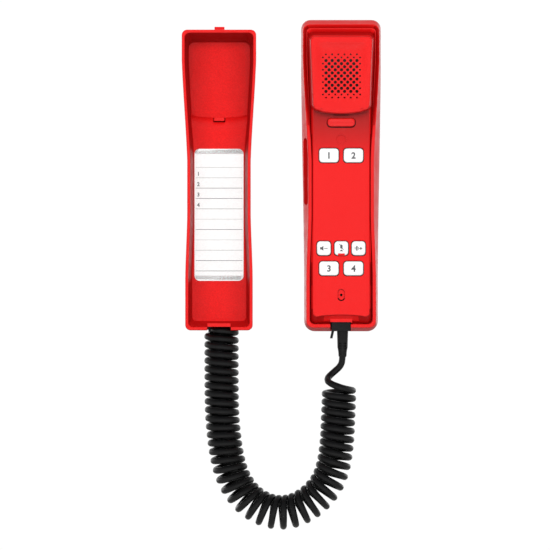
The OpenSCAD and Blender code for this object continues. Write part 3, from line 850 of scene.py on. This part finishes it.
def make_cradle_shell():
    shell = cradle_body()
    boolean(shell, box_prism(7.65, -97.4, -94.6, TROUGH_D - 1, 29.4), "UNION")
    boolean(shell, box_prism(7.25, -101, -96.85, 5, 17))
    boolean(shell, box_prism(7.85, -101, -96.85, 15.5, 31))
    boolean(shell, box_prism(10.42, -101, -97.6, 5, 24.7, 3.18))
    boolean(shell, box_prism(4, 38.7, 41.8, 5, 22))
    finish_piece(shell, RED, "red_plastic", "cradle", "cradle_shell")

    def on_floor(normal, x, d, z):
        return normal.y < -0.3 and RECESS_D - 1 < d < TROUGH_D + 0.5

    def on_wall(normal, x, d, z):
        inwards = normal.x * x < -0.3 * abs(x) or normal.z * z < -0.3 * abs(z)
        return inwards and abs(z) < 97.5 and RECESS_D < d < 29.6
    # The floors take the spark texture with painted shade towards the side walls.
    paint(shell, TEXTURED_RED_WALL_SHADE, on_floor)
    # The inner walls take the darker red as painted shade.
    paint(shell, SHADED_WALL_RED, on_wall)


def make_tongue():
    """Tongue that catches the handset: a small hooked blade with a round top."""
    outline = [(-3.5, 39.4), (3.5, 39.4), (3.5, 41.3), (3.0, 41.8), (-3.0, 41.8), (-3.5, 41.3)]
    blade = prism("handset_hook_visual", outline, 6.2, 17.2)
    foot = prism("tool", rounded(11.2, 5.6, 0.6), 4.8, 6.4, (0, 40))
    hook = joined([blade, foot])
    bevel(hook, 0.35, 3)
    finish_piece(hook, RED, "red_plastic", "cradle", "handset_hook")


make_cradle_shell()
make_tongue()


# --- Handset ---

HAND_X = 80.7
# Depths of the lip's front, the ledge inside it, the flare's start, the groove and the shelf
LIP_D, LEDGE_D, FLARE_D, GROOVE_D, SHELF_D = 29.7, 26.95, 22.5, 25.6, 24.2
LIP_LOW, LIP_TOP, LIP_IN = -97.2, 102.6, 2.0    # the lip's ends and its width
HAND_LOW, HAND_TOP = -100, 106.2
HAND_ROWS = even(-83, 90, 46)
FACE_FRONT_D = 40.7     # front of the earpiece boss
# Each key's middle (x from the handset's own middle, and z) and its width
KEYS = {"key_1": (-8.1, 16.2, 13.4), "key_2": (8.1, 16.2, 13.4), "key_3": (-8.1, -58.4, 13.4),
        "key_4": (8.1, -58.4, 13.4), "key_volume_down": (-11.45, -45.1, 9.6),
        "key_mute": (0.1, -45.1, 9.6), "key_volume_up": (11.45, -45.1, 9.6)}
KEY_H = 9.8
GRILLE_Z, GRILLE_PITCH = 68.15, 4.07
SWITCH_Z, PLUG_Z, MIC_Z = 37.7, 26.7, -75.9


def hand_half(z):
    return 24.4 + 2.0 * taper((z + 60) / 130)


def lip_half(z):
    return cradle_half(z) + 0.4


def boss_half(z):
    return 18.7 + 1.8 * clamp01((z - 48) / 45)


def face_d(z):
    """Depth of the panel's front: it rises under the earpiece and towards the foot."""
    rise = 2.6 * ((min(z, 43) - 10) / 33) ** 2 if z > 10 else 0
    return 29.2 + rise + (2.3 * ((-38 - z) / 52.4) ** 1.3 if z < -38 else 0)


def lip_slope(z):
    """0 where the lip's front is flat, 1 round the earpiece, where it slopes into the groove."""
    return smooth((z - 25) / 30)


def hand_ring(g, r):
    return side(hand_half, g, HAND_LOW + g, HAND_TOP - g, r + 0.8, r, HAND_ROWS)


def lip_ring(g, r):
    return side(lip_half, g, LIP_LOW + g, LIP_TOP - g, r, r, HAND_ROWS)


def on_handset(obj):
    """Moves a tool that is drawn about the handset's own middle."""
    return place_at(obj, HAND_X, 0, 0)


def back_body():
    """The back shell without its cuts, from its rounded back round the lip to the hollow."""
    stack = Stack(shift=HAND_X)
    power = 2.3             # roundness of the back's edge, 2 for a circle
    back_d, round_by = 6, 10
    for t in (1, 0.985, 0.95, 0.89, 0.8, 0.68, 0.52, 0.32, 0):
        g = round_by * (1 - (1 - t ** power) ** (1 / power))
        stack.ring(hand_ring(g, 6.2), back_d + round_by - round_by * t)
        if t == 1:
            stack.cap(flat(back_d), at_start=True)
    stack.ring(hand_ring(0, 6.2), 19)
    wide, lip = hand_ring(0, 6.2), lip_ring(-0.35, 4.5)
    for t in (0.03, 0.5, 0.97):
        stack.ring(between(wide, lip, t), mix(FLARE_D - 0.6, 29.0, t))
    for g, d, drop in ((-0.3, 29.25, 0), (-0.16, 29.5, 0), (0.1, 29.66, 0), (0.35, LIP_D, 0.15),
                       (1.55, LIP_D, 1.75), (1.85, 29.62, 2.2), (LIP_IN, 29.4, 2.2)):
        stack.ring(lip_ring(g, 4.3 - g / 1.6), lambda x, z, d=d, k=drop: d - k * lip_slope(z))
    stack.ring(lip_ring(LIP_IN, 2.7), SHELF_D)
    stack.ring(lip_ring(3.0, 2), SHELF_D)
    for g, r, d in ((2.4, 3.5, 21.5), (2.6, 4, 14), (4.5, 5, 10.2), (6, 5, 8.2)):
        stack.ring(hand_ring(g, r), d)
    stack.cap(flat(8.2))
    return stack.build("handset_back_visual")


def make_back_shell():
    shell = back_body()
    boolean(shell, on_handset(box_prism(6.83, -101, -93.7, 16.5, 40, -0.37)))
    boolean(shell, grip_tool())
    finish_piece(shell, RED, "red_plastic", "handset", "handset_back_shell")

    def inner_side(normal, x, d, z):
        return normal.x * x < -0.3 * abs(x) and d > SHELF_D and normal.y > -0.97
    # The lip's inner slope takes the darker red as painted shade.
    paint(shell, SHADED_WALL_RED, inner_side, HAND_X)


def grip_tool():
    """Flat capsule that cuts the grip inlay's seat into the left flank."""
    under, over = 1.0, 3
    points = rounded(5.6, 44.2, 2.4)
    verts = [(x, z, h) for h in (-under, over) for x, z in points]
    obj = make_object("tool", verts, prism_faces(len(points)))
    slope = Matrix.Rotation(math.radians(30.8), 4, "Z")
    upright = Matrix.Rotation(math.radians(-90), 4, "Z") @ Matrix.Rotation(math.radians(90), 4, "X")
    turn = Matrix.Translation((HAND_X - 23.3, -25.9, 5.6)) @ slope @ upright
    obj.data.transform(Matrix.Scale(MM, 4) @ turn)
    fix_normals(obj)
    return obj


def cover_body():
    """The front cover without its boss and openings."""
    panel_rows = even(-85, 88, 46)
    inner_rows = even(-83, 42, 46)

    def panel(g):
        return side(lambda z: 18.9, g, g - 90.4, 94 - g, 3.2, 3.2, panel_rows)

    def foot_half(z):
        return min(lip_half(z) - 2.32, 20.1)
    foot = side(foot_half, 0, -94.6, 95, 3.6, 3.2, panel_rows)
    stack = Stack(shift=HAND_X)
    inner = side(lambda z: 17.1, 0, -88.6, 45.9, 2, 2, inner_rows)
    stack.ring(inner, lambda x, z: face_d(z) - 1.8)
    stack.cap(lambda x, z: (face_d(z) - 1.8, z), at_start=True)
    stack.ring(inner, SHELF_D + 0.1)
    stack.ring(lip_ring(2.1, 2.6), SHELF_D + 0.1)
    stack.ring(lip_ring(2.1, 2.6), LEDGE_D - 0.1)
    edge = lip_ring(2.2, 2.6)
    stack.ring(edge, LEDGE_D)
    stack.ring(between(edge, foot, 0.12), LEDGE_D)
    stack.ring(between(edge, foot, 0.45), GROOVE_D, bow=(0.4, 0))
    stack.ring(foot, LEDGE_D, bow=(0.8, 0))
    stack.ring(between(foot, panel(-0.05), 0.25), LEDGE_D + 1.3, bow=(0.9, 0))
    for g, under in ((-0.05, 0.8), (0.1, 0.42), (0.42, 0.12), (0.85, 0)):
        stack.ring(panel(g), lambda x, z, u=under: max(LEDGE_D + 1.4, face_d(z) - u), bow=(1.2, 0))
    stack.cap(lambda x, z: (face_d(z), z))
    return stack.build("handset_front_visual")


def earpiece_boss():
    """The raised earpiece with its wide foot, bowed chin and sunk face."""
    def outline(g, top, low, r0, r1):
        return side(boss_half, g, 45.6 + g - low, top, r0, r1, even(53.5, 88.5, 18))
    boss = Stack(columns=22, shift=HAND_X)
    boss.ring(outline(-1.95, 98.5, -1.3, 5, 4), 25.0)
    boss.cap(flat(25.0), at_start=True)
    boss.ring(outline(-1.9, 98.3, -1.3, 5, 4), GROOVE_D, bow=(-1.5, 0))
    boss.ring(outline(-1.4, 96.9, -0.9, 5, 3.9), 30, bow=(-1.7, 0))
    boss.ring(outline(-0.7, 95.4, -0.4, 4.6, 3.7), 34.8, bow=(-1.9, 0))
    for g, d in ((0, 39.5), (0.12, 40.05), (0.4, 40.45), (0.85, 40.66), (1.3, FACE_FRONT_D)):
        boss.ring(outline(g, 94.0 - g, 0, 4.2, 3.2), d, bow=(-2.1, 0))
    boss.cap(lambda x, z: (FACE_FRONT_D - dish(x, z), z))
    return boss.build("boss")


def earpiece_hollow():
    """Room for the speaker inside the boss."""
    outline = side(boss_half, 1.8, 46, 92, 4.2, 1.8, even(52.5, 88.5, 6))
    hollow = Stack(columns=6, shift=HAND_X)
    hollow.ring(outline, 24)
    hollow.cap(flat(24), at_start=True)
    hollow.ring(outline, 38.8)
    hollow.cap(flat(38.8))
    return hollow.build("hollow")


def cover_openings():
    """Grille holes, openings for keys and bar, the plug's seat, the microphone's ring."""
    tools = [prism("tool", disc(1.06 if big else 0.62, 14 if big else 10), 36, 46, at)
             for at, big in grille_places()]
    for x, z, w in KEYS.values():
        tools.append(prism("tool", rounded(w + 0.5, KEY_H + 0.5, 2.5), 20, 40, (x, z)))
    tools.append(prism("tool", rounded(19.2, 6.5, 2.8), 20, 38, (0, SWITCH_Z)))
    tools.append(box_prism(4.95, 42.3, 43.9, 30.2, 33.2))
    tools.append(prism("tool", disc(3.15, 40), 26.3, 40, (0, PLUG_Z)))
    ring = prism("tool", rounded(5.0, 8.0, 2.45), face_d(MIC_Z) - 1.7, 40, (0, MIC_Z))
    boolean(ring, prism("tool", rounded(3.4, 6.4, 1.65), 20, face_d(MIC_Z) - 0.25, (0, MIC_Z)))
    tools.append(ring)
    return joined(tools)


def make_front_cover():
    cover = cover_body()
    boolean(cover, earpiece_boss(), "UNION")
    boolean(cover, earpiece_hollow())
    boolean(cover, on_handset(cover_openings()))
    boolean(cover, on_handset(prism("tool", disc(0.9, 20), 22, 40, (0, MIC_Z))))
    boolean(cover, on_handset(box_prism(7.2, -94.2, -91.5, 25, LIP_D)), "UNION")
    boolean(cover, on_handset(box_prism(6.98, -101, -93.75, 16, 41, -0.37)))
    finish_piece(cover, RED, "red_plastic", "handset", "handset_front_cover")

    def on_panel(normal, x, d, z):
        return normal.y < -0.85 and z < 53 and abs(x) < 18.6 and d < 33

    def in_groove(normal, x, d, z):
        above_boss = z > 80 and normal.z > 0.35
        return normal.y > -0.8 and 25 < d < 36 and z < 98.4 and (d < 28.9 or z < -85 or above_boss)
    # The panel takes the red with the painted shadow under the earpiece.
    paint(cover, PANEL_RED_CHIN_SHADOW, on_panel, HAND_X)
    # The groove round the panel takes the darker red as painted shade.
    paint(cover, SHADED_WALL_RED, in_groove, HAND_X)


def dish(x, z):
    """How far the earpiece's face is sunk: it drops at the top and rises towards the chin."""
    across = smooth((17.5 - abs(x)) / 5)
    drop = 1 - (1 - clamp01((90.4 - z) / 7.5)) ** 2
    rise = 1 - smooth((82 - z) / 32)
    return 1.5 * across * drop * rise


def grille_places():
    """Centres of the earpiece's holes and whether each is a large one."""
    out = []
    for row in range(-7, 8):
        count = 7 if row % 2 == 0 else 6
        for k in range(count):
            big = abs(row) <= 5 and (count == 6 or 0 < k < 6)
            out.append((((k - (count - 1) / 2) * GRILLE_PITCH, GRILLE_Z + row * GRILLE_PITCH / 2), big))
    return out


make_back_shell()
make_front_cover()


# --- Keys and printed marks ---

def text_mesh(text, height):
    """Digits as a thin mesh in the x-z plane, centred, of that height in millimetres."""
    curve = bpy.data.curves.new("digits", "FONT")
    curve.body = text
    curve.size, curve.extrude, curve.offset = 1, 0.004, 0.034
    curve.resolution_u = 4
    source = bpy.data.objects.new("digits", curve)
    scene.collection.objects.link(source)
    bpy.context.view_layer.update()
    mesh = bpy.data.meshes.new_from_object(source.evaluated_get(bpy.context.evaluated_depsgraph_get()))
    bpy.data.objects.remove(source)
    low = [min(v.co[k] for v in mesh.vertices) for k in (0, 1)]
    high = [max(v.co[k] for v in mesh.vertices) for k in (0, 1)]
    scale = height * MM / (high[1] - low[1])
    mesh.transform(Matrix.Rotation(math.radians(90), 4, "X") @ Matrix.Scale(scale, 4)
                   @ Matrix.Translation((-(low[0] + high[0]) / 2, -(low[1] + high[1]) / 2, 0)))
    obj = bpy.data.objects.new("digits", mesh)
    scene.collection.objects.link(obj)
    return obj


def mark(outline, thick=0.05):
    return prism("mark", outline, 0, thick)


def bar(x0, x1, z0, z1):
    return mark([(x0, z0), (x1, z0), (x1, z1), (x0, z1)])


def icon(name):
    """Drawing on a key, about its middle."""
    if name == "key_volume_down":
        speaker = [(-2.5, -0.8), (-1.5, -0.8), (-0.3, -1.6), (-0.3, 1.6), (-1.5, 0.8), (-2.5, 0.8)]
        return joined([mark(speaker), bar(0.2, 2.5, -0.22, 0.22)])
    if name == "key_volume_up":
        levels = ((-2.5, 0.45, 0.75), (-1.6, 0.9, 1.55), (-0.3, 0.4, 0.9))
        plus = [bar(0.5, 2.5, -0.25, 0.25), bar(1.25, 1.75, -1.0, 1.0)]
        return joined([bar(x, x + w, -h, h) for x, w, h in levels] + plus)
    if name == "key_mute":
        slash = [(-1.5, 2.9), (-1.1, 3.1), (1.6, -0.9), (1.2, -1.1)]
        stand = [(-1.1, -1.9), (1.1, -1.9), (0.2, -0.9), (-0.2, -0.9)]
        capsule = place_at(mark(rounded(1.5, 2.7, 0.7)), 0, 0, 1.1)
        return joined([capsule, mark(stand), mark(slash, 0.09)])
    return text_mesh(name[-1], 4.3)


def paint_gap_shade(obj, depth):
    """Paints the faces behind this depth near-black, as painted shade in the gap round a key or the
    bar.
    """
    paint(obj, GAP_SHADE_BLACK, lambda normal, x, d, z: d < depth)


def flange(columns, wide, narrow, back_d):
    """Starts a key or the bar with the 0.8 mm thick flange that keeps it behind the cover."""
    stack = Stack(columns=columns)
    stack.ring(wide, back_d)
    stack.cap(flat(back_d), at_start=True)
    stack.ring(wide, back_d + 0.8)
    stack.ring(narrow, back_d + 0.8)
    return stack


def make_key(name, x, z, w):
    """Key with a crowned top, a flange and a printed mark; mute has a lamp too."""
    top = face_d(z) + 1.0
    gap = 0.25
    half_w, half_h = w / 2 - gap, KEY_H / 2 - gap
    rows = even(-2.2, 2.2, 6)

    def cap_ring(g, r=2.3):
        return side(lambda _: half_w, g, g - half_h, half_h - g, r, r, rows)

    def crown(px, pz):
        return top - 0.35 * (abs(px / half_w) ** 2.5 + abs(pz / half_h) ** 2.5) / 2
    stack = flange(10, cap_ring(-0.8), cap_ring(0), 26.3)
    stack.ring(cap_ring(0), top - 0.95)
    for g, under in ((0.05, 0.6), (0.2, 0.3), (0.45, 0.1)):
        stack.ring(cap_ring(g, 2.3 - g / 2), lambda px, pz, u=under: crown(px, pz) - u)
    stack.ring(cap_ring(0.8, 1.7), crown)
    stack.cap(lambda px, pz: (crown(px, pz), pz))
    key = place_at(stack.build(name + "_cap"), HAND_X + x, 0, z)
    finish_piece(key, WHITE_KEY, "white_plastic", name, name, angle=50)
    # Painted shade: the key's flange and its sides inside the opening are near-black.
    paint_gap_shade(key, face_d(z) - 0.7)
    print_mark = place_at(icon(name), HAND_X + x, top - 0.02, z)
    finish_piece(print_mark, INK, "white_plastic", name)
    print_mark.name = name + "_mark"
    if name == "key_mute":
        lamp = prism("mute_lamp", rounded(4.5, 1.5, 0.3), top - 1.2, top + 0.12, (HAND_X + x, z - 4.1))
        bevel(lamp, 0.12)
        finish_piece(lamp, LAMP_RED, "red_plastic", name)


def make_switch_bar():
    top = face_d(SWITCH_Z) + 1.3
    rows = even(-0.3, 0.3, 3)

    def ring(g, r):
        return side(lambda _: 9.1, g, g - 2.8, 2.8 - g, r, r, rows)
    stack = flange(24, ring(-1.0, 2.4), ring(0, 2.4), 27.7)
    for g, under in ((0, 1.0), (0.1, 0.55), (0.35, 0.2), (0.8, 0.03)):
        stack.ring(ring(g, 2.4 - g / 2), top - under)
    stack.cap(lambda x, z: (top + 0.05 - 0.12 * (z / 2) ** 2, z))
    switch = place_at(stack.build("hook_switch_bar"), HAND_X, 0, SWITCH_Z + 0.3)
    finish_piece(switch, RED_BAR, "red_plastic", "hook_switch", "hook_switch", angle=50)
    # Painted shade: the bar's flange inside its opening is near-black.
    paint_gap_shade(switch, 29.5)


# --- Speed-dial card ---

CARD_Z, CARD_W, CARD_H = -22.8, 32.4, 87.4


def make_card():
    outline = rounded(CARD_W, CARD_H, 3.4, 8)
    card_d = TROUGH_D + 0.3
    card = prism("speed_dial_card_visual", outline, TROUGH_D, card_d, (-0.1, CARD_Z))
    finish_piece(card, PAPER, "paper", "cradle", "speed_dial_card")
    first, step = 8.6, 6.86     # height of the uppermost rule, and from one rule to the next
    weights = (0.16, 0.2, 0.34, 0.34, 0.26, 0.16, 0.34, 0.16, 0.22, 0.34, 0.34)
    rules = [place_at(bar(-15.6, 15.4, -w / 2, w / 2), 0, TROUGH_D + 0.29, first - step * k)
             for k, w in enumerate(weights)]
    for k in range(4):
        rules.append(place_at(text_mesh(str(k + 1), 2.7), -13.8, card_d, first - step * (k + 0.62)))
    lines = joined(rules)
    lines.name = "card_rules"
    finish_piece(lines, INK, "paper", "cradle")


# --- Boot and the CAD's own pieces ---

BOOT_X, BOOT_D = HAND_X + 1, 22.5
# Height and half width of each ring of the boot, from the handset down
BOOT_RINGS = ((-98.4, 3.3), (-98.7, 3.66), (-100.5, 3.7), (-107, 3.5), (-110.6, 3.4), (-111.8, 3.15),
              (-113.2, 2.85), (-116.3, 2.66), (-116.7, 2.5), (-116.8, 2.3))


def boot_column(name, rings):
    """Upright column through the rings, nearly square at the top and round at the foot."""
    sides, power = 28, 3.4
    verts, faces = [], []
    for k, (z, r) in enumerate(rings):
        squareness = 0.8 * clamp01((z + 116) / 12)
        for i in range(sides):
            a = 2 * math.pi * i / sides
            c, s = math.cos(a), math.sin(a)
            square = (abs(c) ** power + abs(s) ** power) ** (-1 / power)
            boxy = mix(1, square, squareness)
            verts.append(vec((BOOT_X + r * boxy * c, BOOT_D + r * boxy * s, z)))
        if k:
            faces += strip((k - 1) * sides, k * sides, sides)
    last = (len(rings) - 1) * sides
    faces += [tuple(range(sides)), tuple(range(last + sides - 1, last - 1, -1))]
    obj = make_object(name, verts, faces)
    fix_normals(obj)
    return obj


def make_boot():
    """Tapered strain relief with five pairs of notches about a spine, over a round core."""
    boot = boot_column("cord_boot_visual", BOOT_RINGS)
    lowest, pitch, height = -115.3, 1.72, 0.85
    notches = []
    for k in range(5):
        z = lowest + pitch * k
        for s in (-1, 1):
            for depths in ((15, 21.2), (23.8, 30)):
                notches.append(box_prism(0.95, z, z + height, *depths, BOOT_X + s * 1.5))
    boolean(boot, joined(notches))
    boolean(boot, boot_column("core", ((-117.0, 2.2), (-106.5, 2.4))), "UNION")
    finish_piece(boot, BOOT_BLACK, "black_rubber", "handset", "cord_boot", angle=40)
    return boot


# The screw plug takes the panel red with its painted shadow under the chin.
NODE_LOOKS = {
    "cradle_back_cover": DARK_RED, "wall_bracket": RED, "back_cover_screws": STEEL, "card_cover": CLEAR,
    "cradle_board": BOARD, "ringer": BLACK, "line_jack": BLACK, "cradle_jack": BLACK,
    "cradle_plug": BLACK, "grip_inlay": GRIP, "earpiece_mesh": MESH, "earpiece_speaker": BLACK,
    "microphone": MESH, "microphone_boot": BOOT_BLACK, "handset_board": BOARD, "board_screws": STEEL,
    "keypad_membrane": SILICONE, "hook_microswitch": BLACK, "ballast_weight": STEEL,
    "cover_screw": STEEL, "screw_plug": PANEL_RED_CHIN_SHADOW, "handset_jack": BLACK, "cord_plug": BLACK}


def dress_nodes():
    """Materials and softened edges for the CAD nodes that stay."""
    for name, look in NODE_LOOKS.items():
        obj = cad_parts[name]
        for slot in obj.material_slots:
            slot.material = look
        if not obj.material_slots:
            obj.data.materials.append(look)
        low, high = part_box(name)
        thin = min(high - low) / MM
        bevel(obj, 0.1 if thin < 1 else 0.22)
        for face in obj.data.polygons:
            face.use_smooth = True


make_card()
for key_name, (key_x, key_z, key_w) in KEYS.items():
    make_key(key_name, key_x, key_z, key_w)
make_switch_bar()
BOOT = make_boot()
dress_nodes()


# --- Floor, cord and finish ---

def make_floor():
    """Pale studio floor, out of the picture below the cord."""
    steps, radii = 64, (0.5, 1.2, 2.0, 2.8)
    verts = [(0, 0, 0)] + [(x, y, 0) for r in radii for x, y in disc(r, steps)]
    faces = [(0, 1 + k, 1 + (k + 1) % steps) for k in range(steps)]
    for k in range(1, len(radii)):
        faces += strip(1 + k * steps, 1 + (k - 1) * steps, steps)
    floor = make_object("studio_floor", verts, faces)
    floor.location = (0.04, 0, -0.48)
    pale = moulded("pale_floor", (0.6, 0.6, 0.59), 0.7, grain=300, depth=0.0002, spread=0.04)
    floor.data.materials.append(pale)


make_floor()
make_cord()

bpy.context.view_layer.update()
